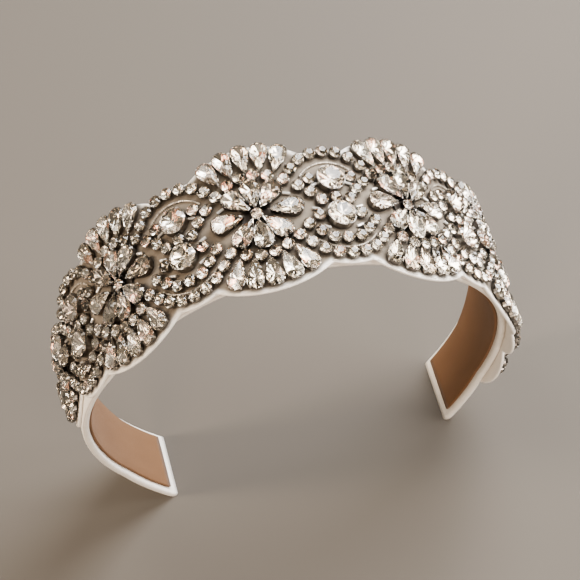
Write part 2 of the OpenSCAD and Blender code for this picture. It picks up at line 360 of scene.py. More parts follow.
velvet = finish_of("brown_velvet", {"Roughness": 0.92, "Sheen Weight": 0.12, "Sheen Roughness": 0.5,
                                    "Specular IOR Level": 0.15}, velvet_paint)
lining_end = 4 * mm
lining_inset = 2 * mm
lining_round = 0.35 * mm
lining_stations = 200
lining_rings, lining_area, lining_length = [], 0.0, 0.0
lining_ring = slab_ring(0.0, lining_t, lining_round, 3, 3, 3)
before = None
for j in range(lining_stations + 1):
    t = 2 * j / lining_stations - 1
    ring = []
    for side, share, reach, h in lining_ring:
        x, z = curve_point(t * lean_down_to(lining_end, h), h)
        ring.append((x, side * (share * half_width(z, lining_inset + lining_round) + reach), z))
    lining_rings.append(ring)
    x, z = curve_point(t * lean_down_to(lining_end, 0.0), lining_t / 2)
    if before:
        stretch = math.hypot(x - before[0], z - before[1])
        lining_length += stretch
        lining_area += stretch * 2 * half_width(z, lining_inset)
    before = (x, z)
lining_ribbon = cloth_loft("lining_ribbon", lining_rings, velvet, lining_length / lining_stations)
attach(lining_ribbon, "root")
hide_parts("lining")

# Backing. A stiff ivory cloth cut in scallops just outside the stones, closer at
# the back edge, laid on the satin and caught down by a running stitch all along.
pitch = 48.2 * mm
FLOWERS = (-2, -1, 0, 1, 2, 3)
FANNED = (-1, 0, 1, 2)
LINKS = (-1.5, -0.5, 0.5, 1.5, 2.5)
first_flower, last_flower, last_link = FLOWERS[0], FLOWERS[-1], LINKS[-1]
fan_pivot, fan_reach, fan_step, fan_count = 4.5 * mm, 29.5 * mm, 12.3, 5
arc_r, arc_shift, arc_step, arc_half = 14.9 * mm, 3.5 * mm, 16.0, 2
small_r = 2.0 * mm
margin, back_trim = 0.9 * mm, 1.1 * mm
tip_u = 17.3 * mm
# columns: distance along the backing and across it
ROW_QUARTER = ((2.1, 13.85), (6.1, 12.4), (10.3, 10.1))
end_long = tip_u + small_r + margin
end_wide = ROW_QUARTER[0][1] * mm + small_r + margin
link_reach = arc_r + small_r + margin
# Share of the scallop at each end at which the cloth is cut straight
end_share = 0.985
backing_start = first_flower * pitch - end_share * end_long
backing_end = last_flower * pitch + end_share * end_long
backing_long = backing_end - backing_start


def lean_at(u):
    """The lean at a length u along the face of the backing."""
    rest = abs(u)
    for radius, angle, start in ARCS:
        turn = math.degrees(rest / (radius + face_h))
        if turn <= angle or start == ARCS[-1][2]:
            return math.copysign(start + turn, u)
        rest -= math.radians(angle) * (radius + face_h)


def laid(u, v, x=0.0, y=0.0, z=0.0):
    """A point of a piece that lies on the backing at (u, v)."""
    lean = lean_at(u)
    px, pz = curve_point(lean, face_h)
    a = math.radians(lean)
    return Vector((px + x * math.cos(a) + z * math.sin(a), v + y, pz - x * math.sin(a) + z * math.cos(a)))


def dome(du, r):
    return math.sqrt(max(0.0, r * r - du * du))


def backing_edge(u, side):
    """The distance of the backing's edge from its middle at a length u: the widest of its scallops."""
    fans = [dome(u - f * pitch, fan_reach + margin) - fan_pivot for f in FANNED]
    links = [dome(u - l * pitch, link_reach) + arc_shift for l in LINKS]
    ends = [dome(u - f * pitch, end_long) * end_wide / end_long for f in (first_flower, last_flower)]
    return max(fans + links + ends) - back_trim * (side > 0)


# More small stones of a flower in mm from its middle: where a link follows, and where the row closes
CORNER = ((13.1, 13.2),)
CLOSING = ((13.45, 7.3), (16.0, 4.0))
# Small stones of a link in mm from its middle: single ones, and one of each pair
MIDDLE = ((0.0, 1.6), (0.0, -13.0))
PAIRS = ((4.4, 1.0), (7.1, 4.2), (6.5, 8.9), (10.2, 7.0),
         (6.5, -4.2), (10.2, -6.9), (7.3, -9.9), (4.15, -12.55))
row_places, link_places, end_places = [], [], []
for f in FLOWERS:
    for sx in (-1, 1):
        closed = (f, sx) in ((first_flower, -1), (last_flower, 1))
        for x, y in ROW_QUARTER + (CLOSING if closed else CORNER):
            (end_places if f == last_flower else row_places).extend(
                [(f * pitch + sx * x * mm, sy * y * mm) for sy in (-1, 1)])
        if closed:
            end_places.append((f * pitch + sx * tip_u, 0.0))
for l in LINKS:
    group = end_places if l == last_link else link_places
    for k in range(-arc_half, arc_half + 1):
        a = math.radians(k * arc_step)
        x, y = arc_r * math.sin(a), arc_shift + arc_r * math.cos(a)
        group += [(l * pitch + x, sy * y) for sy in (-1, 1)]
    group += [(l * pitch + x * mm, y * mm) for x, y in MIDDLE]
    group += [(l * pitch + sx * x * mm, y * mm) for x, y in PAIRS for sx in (-1, 1)]

ROUND_V = (8.1 * mm, -4.9 * mm)
round_r = 4.0 * mm
petal_a, petal_d = 3.0 * mm, 7.0 * mm
fan_a, fan_d = 2.7 * mm, 7.3 * mm
# columns: angle, distance of the cup's point from the middle of the flower
PETALS = ((0, 3.9), (49, 2.4), (90, 2.15), (131, 2.4), (180, 3.9), (229, 2.4), (270, 2.15), (311, 2.4))
petal_places, fan_places = [], {1: [], -1: []}
for f in FLOWERS:
    for angle, near in PETALS:
        reach, a = near * mm + (petal_a + petal_d) / 2, math.radians(angle)
        petal_places.append((f * pitch + reach * math.cos(a), reach * math.sin(a), angle))
for side in (1, -1):
    for f in FANNED:
        for k in range(fan_count):
            angle = 90 - (k - (fan_count - 1) / 2) * fan_step
            reach, a = fan_reach - (fan_a + fan_d) / 2, math.radians(angle)
            x, y = reach * math.cos(a), reach * math.sin(a) - fan_pivot
            fan_places[side].append((f * pitch + x, side * y, side * angle))


def pear_discs(places, a, d):
    """Three discs on each pear, as (u, v, radius): how far towards its tip, and share of its radius."""
    discs = []
    for u, v, turn in places:
        t = math.radians(turn)
        for towards_tip, share in ((0.0, 1.0), (0.45, 0.62), (0.8, 0.25)):
            x = (d - a) / 2 - towards_tip * d
            discs.append((u + x * math.cos(t), v + x * math.sin(t), a * share))
    return discs


DISCS = [(u, v, small_r) for u, v in row_places + link_places + end_places]
DISCS += [(l * pitch, v, 1.1 * round_r) for l in LINKS for v in ROUND_V]
DISCS += pear_discs(petal_places, petal_a, petal_d)
for side in (1, -1):
    DISCS += pear_discs(fan_places[side], fan_a, fan_d)
disc_tree = KDTree(len(DISCS))
for i, (u, v, r) in enumerate(DISCS):
    disc_tree.insert((u, v, 0.0), i)
disc_tree.balance()


# How dark the painted shade of one stone makes the cloth beside it, how far that goes, and how far is looked
shade_of_one, shade_reach, search_reach = 0.58, 0.55 * mm, 6.0 * mm


def crowding(u, v):
    """How dark the painted shade is at a place on the backing, from 0 to 1: darker the more closely the
    stones stand round it.
    """
    clear = 1.0
    for _, i, distance in disc_tree.find_range((u, v, 0.0), search_reach):
        gap = max(0.0, distance - DISCS[i][2])
        clear *= 1 - shade_of_one * math.exp(-(gap / shade_reach) ** 2)
    return 1 - clear


def cloth_paint(bench):
    cloth = bench.node("ShaderNodeUVMap", {"uv_map": "cloth"})["UV"]
    split = bench.node("ShaderNodeSeparateXYZ", {}, {"Vector": cloth})
    thread_pitch = 0.42 * mm
    turns = 2 * math.pi / thread_pitch
    warp = bench.node("ShaderNodeMath", {"operation": "SINE"}, {0: split[0] * turns})[0]
    weft = bench.node("ShaderNodeMath", {"operation": "SINE"}, {0: split[1] * turns})[0]
    weave = warp * weft * 0.5 + 0.5
    slub = bench.grain(cloth, 600.0, 4.0)
    stain = bench.grain(cloth, 60.0)
    painted_shade = bench.stored("crowding")
    # Inside its light border the cloth is painted a dark brown-grey between the stones.
    field = bench.mix(stain, (0.135, 0.106, 0.076), (0.205, 0.167, 0.126))
    field = bench.mix(bench.stored("border"), field, (0.88, 0.84, 0.785))
    # Where the stones stand close, the cloth is painted nearly black: painted shade between them.
    base = bench.mix(painted_shade, field, (0.04, 0.031, 0.023))
    # The raised threads of the weave are painted lighter than its pits: painted shade in the weave.
    return {"Base Color": bench.mix(weave * 0.12 * (1 - painted_shade), base, (0.82, 0.77, 0.69)),
            "Normal": bench.relief(0.6, 0.2 * mm, weave * 0.6 + slub * 0.4)}


cloth = finish_of("ivory_backing_cloth", {"Roughness": 0.88, "Sheen Weight": 0.2, "Specular IOR Level": 0.25},
                  cloth_paint)
cloth_round = 0.42 * mm
cloth_ring = slab_ring(-cloth_t, 0.0, cloth_round, 30, 4, 4)
cloth_stations = 320
# How far the cloth dips, and the width of its light border and of the change to it
dip, border_width, border_change = 0.10 * mm, 0.8 * mm, 1.2 * mm
dips_per_metre = 260
cloth_rings, cloth_area, cloth_shades = [], 0.0, []
for j in range(cloth_stations + 1):
    u = backing_start + backing_long * j / cloth_stations
    edges = {side: backing_edge(u, side) for side in (-1, 1)}
    cloth_area += sum(edges.values()) * backing_long / cloth_stations
    ring = []
    for side, share, reach, z in cloth_ring:
        edge = edges[side]
        v = side * (share * (edge - cloth_round) + reach)
        upper = z > -cloth_t / 2
        sink = dip * ripple(Vector((u, v, 0.0)) * dips_per_metre) * upper
        ring.append(tuple(laid(u, v, z=z - sink)))
        rim = min(1.0, max(0.0, 1 - (edge - abs(v) - border_width) / border_change))
        cloth_shades.append((crowding(u, v), rim) if upper else (0.0, 1.0))
    cloth_rings.append(ring)
backing_cloth = cloth_loft("backing_cloth", cloth_rings, cloth, backing_long / cloth_stations)
for number, label in enumerate(("crowding", "border")):
    shade = backing_cloth.data.attributes.new(label, "FLOAT", "POINT")
    shade.data.foreach_set("value", [pair[number] for pair in cloth_shades])
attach(backing_cloth, "root")
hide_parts("backing")


def tree_of(name, wanted):
    """A geometry tree with named inputs: its bench, its input node and the inputs' identifiers."""
    tree = bpy.data.node_groups.new(name, "GeometryNodeTree")
    tree.interface.new_socket(name="Geometry", in_out="OUTPUT", socket_type="NodeSocketGeometry")
    ids = {label: tree.interface.new_socket(name=label, in_out="INPUT", socket_type=kind).identifier
           for label, kind in wanted}
    bench = Bench(tree)
    return bench, bench.node("NodeGroupInput"), ids


def end_tree(bench, shapes, finish, seed):
    """Real copies with a random number on each copy and each face, and their finish."""
    by_copy = bench.node("FunctionNodeRandomValue", {"data_type": "FLOAT"}, {"Seed": seed})[1]
    marked = bench.node("GeometryNodeStoreNamedAttribute", {"data_type": "FLOAT", "domain": "INSTANCE"},
                        {"Geometry": shapes, "Name": "copy", "Value": by_copy})[0]
    real = bench.node("GeometryNodeRealizeInstances", {}, {"Geometry": marked})[0]
    by_face = bench.node("FunctionNodeRandomValue", {"data_type": "FLOAT"}, {"Seed": seed})[1]
    faced = bench.node("GeometryNodeStoreNamedAttribute", {"data_type": "FLOAT", "domain": "FACE"},
                       {"Geometry": real, "Name": "facet", "Value": by_face})[0]
    done = bench.node("GeometryNodeSetMaterial", {}, {"Geometry": faced, "Material": finish})[0]
    bench.node("NodeGroupOutput", {}, {"Geometry": done})


line_bench, line_in, LINE = tree_of("copies_along_a_line", (
    ("Geometry", "NodeSocketGeometry"), ("Shape", "NodeSocketObject"), ("Spacing", "NodeSocketFloat"),
    ("Finish", "NodeSocketMaterial"), ("Seed", "NodeSocketInt")))
line_curve = line_bench.node("GeometryNodeMeshToCurve", {}, {"Mesh": line_in["Geometry"]})[0]
line_points = line_bench.node("GeometryNodeResampleCurve", {"mode": "LENGTH"},
                              {"Curve": line_curve, "Length": line_in["Spacing"]})[0]
line_up = line_bench.node("GeometryNodeInputNamedAttribute", {"data_type": "FLOAT_VECTOR"}, {"Name": "up"})[0]
line_stand = line_bench.node("FunctionNodeAlignRotationToVector", {"axis": "Z"}, {"Vector": line_up})[0]
line_tangent = line_bench.node("GeometryNodeInputTangent")[0]
line_turn = line_bench.node("FunctionNodeAlignRotationToVector", {"axis": "X", "pivot_axis": "Z"},
                            {"Rotation": line_stand, "Vector": line_tangent})[0]
line_shape = line_bench.node("GeometryNodeObjectInfo", {}, {"Object": line_in["Shape"]})["Geometry"]
line_size = line_bench.node("FunctionNodeRandomValue", {"data_type": "FLOAT_VECTOR"}, {
    "Min": (0.92, 0.94, 0.92), "Max": (1.06, 1.06, 1.06), "Seed": line_in["Seed"]})[0]
line_copies = line_bench.node("GeometryNodeInstanceOnPoints", {}, {
    "Points": line_points, "Instance": line_shape, "Rotation": line_turn, "Scale": line_size})[0]
end_tree(line_bench, line_copies, line_in["Finish"], line_in["Seed"])


def grown(name, carrier, bench, values):
    """The plain mesh that a tree makes of a carrier, which is then removed."""
    modifier = carrier.modifiers.new("copies", "NODES")
    modifier.node_group = bench.tree
    for identifier, value in values.items():
        modifier[identifier] = value
    graph = bpy.context.evaluated_depsgraph_get()
    data = bpy.data.meshes.new_from_object(carrier.evaluated_get(graph), preserve_all_data_layers=True,
                                           depsgraph=graph)
    piece = bpy.data.objects.new(name, data)
    bpy.context.scene.collection.objects.link(piece)
    bpy.data.objects.remove(carrier)
    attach(piece, "root")
    return piece


def carrier_of(points, edges, label, vectors):
    """Points and edges to set copies on, with a vector stored on each point."""
    data = bpy.data.meshes.new("carrier")
    data.from_pydata(points, edges, [])
    stored = data.attributes.new(label, "FLOAT_VECTOR", "POINT")
    stored.data.foreach_set("vector", [c for vector in vectors for c in vector])
    carrier = bpy.data.objects.new("carrier", data)
    bpy.context.scene.collection.objects.link(carrier)
    return carrier


def line_carrier(lines):
    """A carrier of broken lines, each of (point, direction up)."""
    edges, first = [], 0
    for line in lines:
        edges += [(first + i, first + i + 1) for i in range(len(line) - 1)]
        first += len(line)
    points, ups = zip(*[pair for line in lines for pair in line])
    return carrier_of(points, edges, "up", ups)


def up_at(u):
    a = math.radians(lean_at(u))
    return Vector((math.sin(a), 0.0, math.cos(a)))


SHAPES = []


def shape_of(name, points, faces):
    """A small shape that is copied, and taken away at the end."""
    mesh = bmesh.new()
    verts = [mesh.verts.new(p) for p in points]
    for face in faces:
        mesh.faces.new([verts[i] for i in face])
    SHAPES.append(placed_mesh(name, mesh))
    return SHAPES[-1]


def rings_shape(name, rings):
    """A closed shape over rings of points, with flat ends."""
    n = len(rings[0])
    points = [p for ring in rings for p in ring]
    faces = [tuple(range(n)), tuple(range((len(rings) - 1) * n, len(rings) * n))]
    for j in range(len(rings) - 1):
        for i in range(n):
            k = (i + 1) % n
            faces.append((j * n + i, j * n + k, (j + 1) * n + k, (j + 1) * n + i))
    return shape_of(name, points, faces)


def round_outline(n, r):
    return [r * Vector((math.cos(2 * math.pi * i / n), math.sin(2 * math.pi * i / n))) for i in range(n)]


def lying_bar(name, length, width, height, sides, profile):
    """A thread or bead along X that rests on Z = 0. profile: place along it and share of its thickness."""
    circle = round_outline(sides, 1.0)
    return rings_shape(name, [
        [(place * length, width / 2 * share * p.x, height / 2 * (1 + share * p.y)) for p in circle]
        for place, share in profile])


def thread_paint(bench):
    tone = bench.grain(bench.place(), 4000.0) * 0.5 + bench.stored("copy") * 0.5
    return {"Base Color": bench.mix(tone, (0.66, 0.60, 0.52), (0.86, 0.82, 0.75))}


thread = finish_of("ivory_thread", {"Roughness": 0.6, "Sheen Weight": 0.2}, thread_paint)
stitch_shape = lying_bar("stitch", 1.5 * mm, 0.26 * mm, 0.24 * mm, 6,
                         ((-0.5, 0.35), (-0.38, 0.9), (0.0, 1.0), (0.38, 0.9), (0.5, 0.35)))
stitch_inset, stitch_depth, stitch_spacing = 0.55 * mm, 0.06 * mm, 2.4 * mm
# Length at each end of the backing without stitches
stitch_start = 2 * mm
stitch_stations = 240
stitch_lines = []
for side in (-1, 1):
    line = []
    for j in range(stitch_stations + 1):
        u = backing_start + stitch_start + (backing_long - 2 * stitch_start) * j / stitch_stations
        line.append((laid(u, side * (backing_edge(u, side) - stitch_inset), z=-stitch_depth), up_at(u)))
    stitch_lines.append(line)
edge_stitches = grown("edge_stitches", line_carrier(stitch_lines), line_bench, {
    LINE["Shape"]: stitch_shape, LINE["Spacing"]: stitch_spacing, LINE["Finish"]: thread, LINE["Seed"]: 4})

# Small stones. Round cut glass with a silvered back in thin metal cups whose
# four claws are bent over it; they draw the links and frame the flowers.
seat_bench, seat_in, SEAT = tree_of("copies_on_seats", (
    ("Geometry", "NodeSocketGeometry"), ("Shape", "NodeSocketObject"), ("Finish", "NodeSocketMaterial"),
    ("Seed", "NodeSocketInt")))
seat_turn = seat_bench.node("GeometryNodeInputNamedAttribute", {"data_type": "FLOAT_VECTOR"},
                            {"Name": "turn"})[0]
seat_rotation = seat_bench.node("FunctionNodeEulerToRotation", {}, {0: seat_turn})[0]
seat_shape = seat_bench.node("GeometryNodeObjectInfo", {}, {"Object": seat_in["Shape"]})["Geometry"]
seat_copies = seat_bench.node("GeometryNodeInstanceOnPoints", {}, {
    "Points": seat_in["Geometry"], "Instance": seat_shape, "Rotation": seat_rotation})[0]
end_tree(seat_bench, seat_copies, seat_in["Finish"], seat_in["Seed"])


def copies(name, seats, shape, finish, seed):
    """One piece made of a shape on every seat. seats: (u, v, x, y, z, turn) in metres and degrees,
    with x, y, z in the flat frame at (u, v)."""
    turns = [(Matrix.Rotation(math.radians(lean_at(u)), 3, "Y")
              @ Matrix.Rotation(math.radians(turn), 3, "Z")).to_euler("XYZ") for u, _, _, _, _, turn in seats]
    carrier = carrier_of([laid(u, v, x, y, z) for u, v, x, y, z, _ in seats], [], "turn", turns)
    piece = grown(name, carrier, seat_bench, {
        SEAT["Shape"]: shape, SEAT["Finish"]: finish, SEAT["Seed"]: seed})
    return piece


def scaled(outline, middle, share, height):
    """The outline, grown or shrunk about its middle by a share, at a height in mm."""
    return [(*(middle + share * (p - middle)), height * mm) for p in outline]


def cut_stone(name, outline, middle, seat, girdle, table, crown, pavilion):
    """A brilliant-cut stone over an outline with an even number of points."""
    n, half = len(outline), len(outline) // 2
    low, high = scaled(outline, middle, *seat), scaled(outline, middle, *girdle)
    flat, between = scaled(outline, middle, *table)[0::2], scaled(outline, middle, *crown)[1::2]
    under = scaled(outline, middle, *pavilion[:2])[1::2]
    points = low + high + flat + between + under + [(*middle, pavilion[2] * mm)]
    # Numbers of the first point of each ring: low, high, table, between, under
    L, H, T, B, U, point = 0, n, 2 * n, 2 * n + half, 3 * n, 3 * n + half
    faces = [tuple(T + k for k in range(half))]
    for k in range(half):
        g, past, last = 2 * k, (k + 1) % half, (k - 1) % half
        g1, g2 = g + 1, (g + 2) % n
        faces += [(T + k, T + past, B + k), (T + k, B + last, H + g, B + k),
                  (B + k, H + g, H + g1), (B + k, H + g1, H + g2),
                  (H + g, L + g, L + g1, H + g1), (H + g1, L + g1, L + g2, H + g2),
                  (U + k, L + g1, L + g), (U + k, L + g2, L + g1),
                  (point, U + last, L + g, U + k)]
    return shape_of(name, points, faces)


def foil_back(name, outline, middle, seat, pavilion, floor_z):
    """The silvered cup under a stone: its hollow follows the lower facets."""
    n, half = len(outline), len(outline) // 2
    lift, drop, rim_share, foot_share = 0.02, 0.01, 0.99, 0.87
    rim = scaled(outline, middle, rim_share * seat[0], seat[1] - drop)
    foot = scaled(outline, middle, foot_share * seat[0], floor_z)
    under = scaled(outline, middle, pavilion[0], pavilion[1] + lift)[1::2]
    points = foot + rim + under + [(*middle, (pavilion[2] + lift) * mm)]
    # Numbers of the first point of each ring past the foot: rim, under
    R, U, point = n, 2 * n, 2 * n + half
    faces = [tuple(range(n))]
    for k in range(half):
        g, last = 2 * k, (k - 1) % half
        g1, g2 = g + 1, (g + 2) % n
        faces += [(U + k, R + g, R + g1), (U + k, R + g1, R + g2), (point, U + last, R + g, U + k),
                  (g, g1, R + g1, R + g), (g1, g2, R + g2, R + g1)]
    return shape_of(name, points, faces)


def stone_shapes(name, outline, middle, seat, girdle, table, crown, pavilion, floor_z):
    """A cut stone and its silvered back, whose foot is at floor_z. Heights are in mm.
    seat and girdle: share and height where the stone rests on the cup, and of its widest line;
    table and crown: the same of the table's corners and of the corners between;
    pavilion: the same of its corners, and the height of the point."""
    return (cut_stone(name + "_cut", outline, middle, seat, girdle, table, crown, pavilion),
            foil_back(name + "_foil", outline, middle, seat, pavilion, floor_z))


def metal_cup(name, outline, middle, levels):
    """A cup of sheet metal. levels: share of the outline and height in mm, up its outside, then down its
    inside."""
    return rings_shape(name, [scaled(outline, middle, *level) for level in levels])


def claw_shape(name, path, width, thick):
    """A claw of flat wire, in mm. path: distance outwards and height of its outer face, foot to tip."""
    tip_share, inner_share = 0.65, 0.8
    path = [Vector(p) * mm for p in path]
    rings = []
    for i, p in enumerate(path):
        along = (path[min(len(path) - 1, i + 1)] - path[max(0, i - 1)]).normalized()
        inner = p + Vector((-along.y, along.x)) * thick * mm
        half = width / 2 * mm * (tip_share if i == len(path) - 1 else 1)
        rings.append([(p.x, -half, p.y), (p.x, half, p.y),
                      (inner.x, inner_share * half, inner.y), (inner.x, -inner_share * half, inner.y)])
    return rings_shape(name, rings)


def crystal_paint(bench):
    tint = bench.node("ShaderNodeValToRGB", {"stops": (
        (0.0, (1.0, 0.99, 0.97)), (0.45, (0.98, 0.95, 0.90)), (0.8, (1.0, 0.98, 0.96)),
        (1.0, (0.97, 0.88, 0.82)))}, {0: bench.stored("copy")})[0]
    return {"Base Color": tint, "Roughness": bench.grain(bench.place(), 900.0) * 0.03}


crystal = finish_of("clear_crystal", {"Transmission Weight": 1.0, "IOR": 1.5}, crystal_paint)


def foil_paint(stops, dullest):
    """The look of a silvered back: each facet gets a random colour from dark to white, and a few peach,
    painted reflections of the room that its facets would catch.
    """
    def paint(bench):
        chance = bench.stored("facet")
        shade = bench.node("ShaderNodeValToRGB", {"stops": stops}, {0: chance})[0]
        return {"Base Color": shade, "Roughness": 0.05 + chance * dullest}
    return paint


# Facet colours of the small and the large backs: painted reflections, from dark to white and a few peach.
small_back = finish_of("small_back_painted_reflections", {"Metallic": 1.0}, foil_paint((
    (0.0, (0.15, 0.125, 0.10)), (0.16, (0.32, 0.28, 0.225)), (0.36, (0.50, 0.45, 0.38)),
    (0.62, (0.65, 0.605, 0.535)), (0.89, (0.84, 0.80, 0.74)), (0.96, (0.90, 0.65, 0.52)),
    (1.0, (0.90, 0.51, 0.38))), 0.20))
large_back = finish_of("large_back_painted_reflections", {"Metallic": 1.0}, foil_paint((
    (0.0, (0.26, 0.225, 0.18)), (0.12, (0.50, 0.45, 0.375)), (0.30, (0.70, 0.64, 0.56)),
    (0.58, (0.82, 0.77, 0.69)), (0.85, (0.97, 0.93, 0.86)), (0.93, (0.98, 0.71, 0.57)),
    (1.0, (0.93, 0.50, 0.34))), 0.22))


def metal_paint(dark, light):
    """The look of a plated metal that has darkened unevenly."""
    def paint(bench):
        place = bench.place()
        patina = bench.grain(place, 700.0, 3.0)
        return {"Base Color": bench.mix(patina, dark, light),
                "Roughness": 0.22 + patina * 0.25,
                "Normal": bench.relief(0.25, 0.1 * mm, bench.grain(place, 2600.0))}
    return paint


cup_metal = finish_of("darkened_silver", {"Metallic": 1.0},
                      metal_paint((0.12, 0.105, 0.09), (0.40, 0.375, 0.34)))
# The claws are painted a lighter silver than the cups: a painted highlight for the glints that they catch.
claw_metal = finish_of("claw_silver_with_painted_glints", {"Metallic": 1.0},
                       metal_paint((0.30, 0.275, 0.25), (0.66, 0.63, 0.59)))

small_outline = round_outline(12, small_r)
centre = Vector((0.0, 0.0))
small_shapes = stone_shapes("small", small_outline, centre, (0.86, 1.38), (0.97, 1.56),
                            (0.54, 2.6), (0.78, 2.15), (0.6, 0.80, 0.40), 0.22)
small_cup = metal_cup("small_cup", small_outline, centre, (
    (0.72, 0.10), (0.93, 0.62), (0.96, 1.42), (0.88, 1.44), (0.86, 0.8), (0.60, 0.30)))
small_claw = claw_shape("small_claw", (
    (1.93, 0.7), (2.04, 1.50), (1.90, 1.84), (1.60, 2.16)), 0.44, 0.13)


def turned_seats(places, seed):
    """Seats of round stones, each turned at random."""
    chance = random.Random(seed)
    return [(u, v, 0.0, 0.0, 0.0, chance.uniform(0, 360)) for u, v in places]


def claw_seats(seats, count):
    """Seats of the claws, evenly spaced round each round stone."""
    return [(*s[:5], s[5] + 360 * i / count) for s in seats for i in range(count)]


def set_stones(name, seats, shapes, back, seed, nodes):
    """The crystals on their seats, which stand for nodes of the frame, and their silvered backs."""
    cut, foil = shapes
    crystals = copies(name + "_crystals", seats, cut, crystal, seed)
    if nodes:
        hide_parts(*nodes)
    copies(name + "_foils", seats, foil, back, seed)


for name, places, nodes, seed in (("row", row_places, ["row_stones"], 11),
                                  ("link", link_places, ["link_stones"], 12), ("end", end_places, [], 13)):
    seats = turned_seats(places, seed)
    set_stones(name, seats, small_shapes, small_back, seed, nodes)
    copies(name + "_cups", seats, small_cup, cup_metal, seed)
    copies(name + "_claws", claw_seats(seats, 4), small_claw, claw_metal, seed)

# Large round stones. Two brilliant-cut stones with silvered backs stand in each
# link, in straight-sided metal cups with six claws.
round_shapes = stone_shapes("round", round_outline(16, 1.07 * round_r), centre, (0.95, 2.32),
                            (1.0, 2.46), (0.56, 4.4), (0.80, 3.55), (0.66, 1.45, 0.62), 0.52)
round_claw = claw_shape("round_claw", (
    (4.42, 0.6), (4.48, 2.4), (4.36, 2.66), (4.08, 2.88), (3.70, 3.26)), 0.8, 0.17)
round_seats = turned_seats([(l * pitch, v) for l in LINKS for v in ROUND_V], 21)
set_stones("round", round_seats, round_shapes, large_back, 21, ["end_round_stones"] + [
    "round_stone_%d_%s" % (i, side) for i in range(1, len(LINKS)) for side in ("upper", "lower")])
copies("round_claws", claw_seats(round_seats, 6), round_claw, claw_metal, 21)
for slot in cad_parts["round_settings"].material_slots:
    slot.material = cup_metal


# Flowers. Eight pear-cut stones round a small one, in cups soldered together
# over a plate; the cups have five claws each.
def pear_bend(a, d):
    """The angle at which a pear's round end turns into its flank."""
    return math.pi / 2 + math.asin(a / d)


def pear_flank(a, d, belly, share):
    """A point at a share of a flank, which swells by the belly past a straight line to the tip at -X."""
    bend = pear_bend(a, d)
    outwards = Vector((math.cos(bend), math.sin(bend)))
    return (a * outwards).lerp(Vector((-d, 0.0)), share) + belly * math.sin(math.pi * share) * outwards


def pear_outline(a, d, belly, n):
    """A pear with n points, evenly spaced; point 0 is the round end, point n / 2 the tip."""
    arc, flank = a * pear_bend(a, d), math.sqrt(d * d - a * a)
    upper = []
    for i in range(n // 2 + 1):
        s = (arc + flank) * 2 * i / n
        if s < arc:
            upper.append(Vector((a * math.cos(s / a), a * math.sin(s / a))))
        else:
            upper.append(pear_flank(a, d, belly, (s - arc) / flank))
    points = upper + [Vector((p.x, -p.y)) for p in reversed(upper[1:-1])]
    return [p - Vector(((a - d) / 2, 0.0)) for p in points]


def pear_girdle(a, d, share, belly, n):
    """The girdle of a pear stone, larger or smaller than its cup by a share, about the cup's round end."""
    shift = Vector(((1 - share) * (d - a) / 2, 0.0))
    return [p + shift for p in pear_outline(a * share, d * share, belly, n)]


petal_belly = 0.32 * mm
petal_shapes = stone_shapes("petal", pear_girdle(petal_a, petal_d, 1.07, petal_belly, 16),
                            Vector((1.2 * mm, 0.0)), (0.85, 1.93), (1.0, 2.08),
                            (0.56, 3.6), (0.80, 3.0), (0.66, 1.25, 0.66), 0.55)
petal_claw = claw_shape("petal_claw", (
    (-0.10, 0.6), (0.22, 2.0), (0.10, 2.36), (-0.14, 2.62), (-0.46, 2.98)), 0.58, 0.16)


def pear_claws(seats, a, d, belly, flank_share, round_angle):
    """Seats of the claws of pear cups: one at the tip, two on the flanks, two at the round end."""
    tip_inset, to_middle = 0.45 * mm, Vector(((d - a) / 2, 0.0))
    flank, angle = pear_flank(a, d, belly, flank_share), math.radians(round_angle)
    swell = Vector((a * math.cos(angle), a * math.sin(angle)))
    spots = [(Vector((tip_inset - d, 0.0)), 180.0)]
    for side in (-1, 1):
        spots.append((Vector((flank.x, side * flank.y)), side * math.degrees(pear_bend(a, d))))
        spots.append((Vector((swell.x, side * swell.y)), side * round_angle))
    out = []
    for u, v, x, y, z, turn in seats:
        turned = Matrix.Rotation(math.radians(turn), 2)
        for spot, facing in spots:
            p = turned @ (spot + to_middle)
            out.append((u, v, x + p.x, y + p.y, z, turn + facing))
    return out


petal_claw_seats = []
for number in range(1, len(FLOWERS) + 1):
    own_places = petal_places[len(PETALS) * (number - 1):len(PETALS) * number]
    seats = [(u, v, 0.0, 0.0, 0.0, turn) for u, v, turn in own_places]
    nodes = ["petal_%d_%d" % (number, k) for k in range(1, len(PETALS) + 1)]
    if number == len(FLOWERS):
        nodes = ["end_petals"]
    set_stones("flower_%d" % number, seats, petal_shapes, large_back, 30 + number, nodes)
    petal_claw_seats += pear_claws(seats, petal_a, petal_d, petal_belly, 0.45, 42.0)
copies("petal_claws", petal_claw_seats, petal_claw, claw_metal, 36)


def flower_metal_paint(bench):
    """The metal of the cups, darkened unevenly, and painted nearly black on the plate in the middle of each
    flower: painted shade in the hollow under the petals.
    """
    place = bench.place()
    near = 1.0
    for f in FLOWERS:
        away = bench.node("ShaderNodeVectorMath", {"operation": "DISTANCE"},
                          {0: place, 1: laid(f * pitch, 0.0)})["Value"]
        near = bench.node("ShaderNodeMath", {"operation": "MINIMUM"}, {0: away, 1: near})[0]
    patina = bench.grain(place, 700.0, 3.0)
    worn = bench.mix(patina, (0.055, 0.047, 0.040), (0.25, 0.225, 0.20))
    # Towards the middle of each flower the metal is painted nearly black: painted shade between the petals.
    outer = bench.node("ShaderNodeMapRange", {},
                       {"Value": near, "From Min": 3.4 * mm, "From Max": 6.2 * mm})[0]
    return {"Base Color": bench.mix(outer, (0.030, 0.025, 0.021), worn), "Roughness": 0.25 + patina * 0.25}


flower_metal = finish_of("blackened_silver_with_painted_shade", {"Metallic": 1.0}, flower_metal_paint)
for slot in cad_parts["flower_settings"].material_slots:
    slot.material = flower_metal

